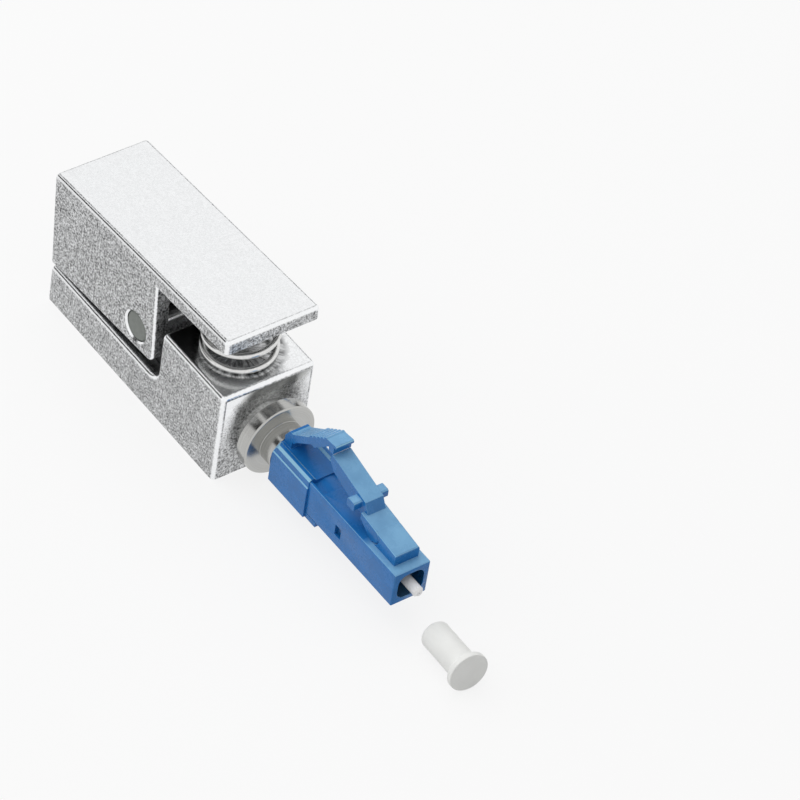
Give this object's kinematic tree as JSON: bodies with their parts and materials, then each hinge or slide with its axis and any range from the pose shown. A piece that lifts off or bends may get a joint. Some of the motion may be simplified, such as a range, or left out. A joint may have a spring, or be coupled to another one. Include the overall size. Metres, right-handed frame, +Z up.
{
  "type": "lc fibre adapter",
  "caption": "Square clamp body with a spring-loaded press lever that ends a bare optical fibre in a small push-pull latched plug, with its dust cap lying in front.",
  "frame": {"origin": "centre of the housing's bottom face, straight below the hinge pin", "axes": "+X forward along the fibre axis towards the ferrule tip, +Z up, +Y towards the set screw's side"},
  "size_m": [0.0703, 0.012, 0.0199],
  "materials": {
    "cast_zinc": "satin, fine grain",
    "lever_zinc": "satin, fine grain",
    "pin_steel": "dull",
    "spring_steel": "polished",
    "pad": "matt",
    "upper_pad": "matt",
    "screw_steel": "blackened",
    "collar_steel": "turned and polished",
    "guide_plastic": "satin",
    "guide_steel": "drawn",
    "blue_plastic": "semi-gloss",
    "holder_brass": "turned",
    "zirconia": "polished",
    "cap_plastic": "soft, satin"
  },
  "bodies": {
    "clamp": {"housing": "cast_zinc", "hinge_pin": "pin_steel", "lower_pad": "pad", "lever_spring": "spring_steel", "set_screw": "screw_steel", "collar": "collar_steel", "guide_funnel": "guide_plastic", "guide_tube": "guide_steel", "rear_body": "blue_plastic", "front_housing": "blue_plastic", "spring_stop": "blue_plastic", "ferrule_spring": "spring_steel", "dust_cap": "cap_plastic"},
    "press_lever": {"lever": "lever_zinc", "upper_pad": "upper_pad"},
    "trigger": {"trigger": "blue_plastic"},
    "latch": {"latch": "blue_plastic"},
    "ferrule": {"ferrule": "zirconia", "ferrule_holder": "holder_brass"}
  },
  "joints": [
    {"name": "lever_hinge", "type": "hinge", "parent": "clamp", "child": "press_lever", "pos_m": [0, 0, 0.00925], "axis": [0, 1, 0], "range_deg": [0, 10], "stiffness_Nm_per_rad": 0.15, "springref_deg": -20.05, "deforming": ["lever_spring"]},
    {"name": "trigger_bend", "type": "hinge", "parent": "clamp", "child": "trigger", "pos_m": [0.0222, 0, 0.00975], "axis": [0, 1, 0], "range_deg": [0, 8], "stiffness_Nm_per_rad": 0.0005, "springref_deg": -2.86},
    {"name": "latch_bend", "type": "hinge", "parent": "clamp", "child": "latch", "pos_m": [0.03735, 0, 0.0092], "axis": [0, 1, 0], "range_deg": [-7, 0], "stiffness_Nm_per_rad": 0.0005, "springref_deg": 2.86},
    {"name": "ferrule_float", "type": "slide", "parent": "clamp", "child": "ferrule", "axis": [-1, 0, 0], "range_m": [0, 0.0008], "stiffness_N_per_m": 1000, "springref_m": -0.005, "deforming": ["ferrule_spring"]}
  ],
  "couplings": [
    {"joint": "latch_bend", "follows": "trigger_bend", "ratio": -0.76}
  ]
}
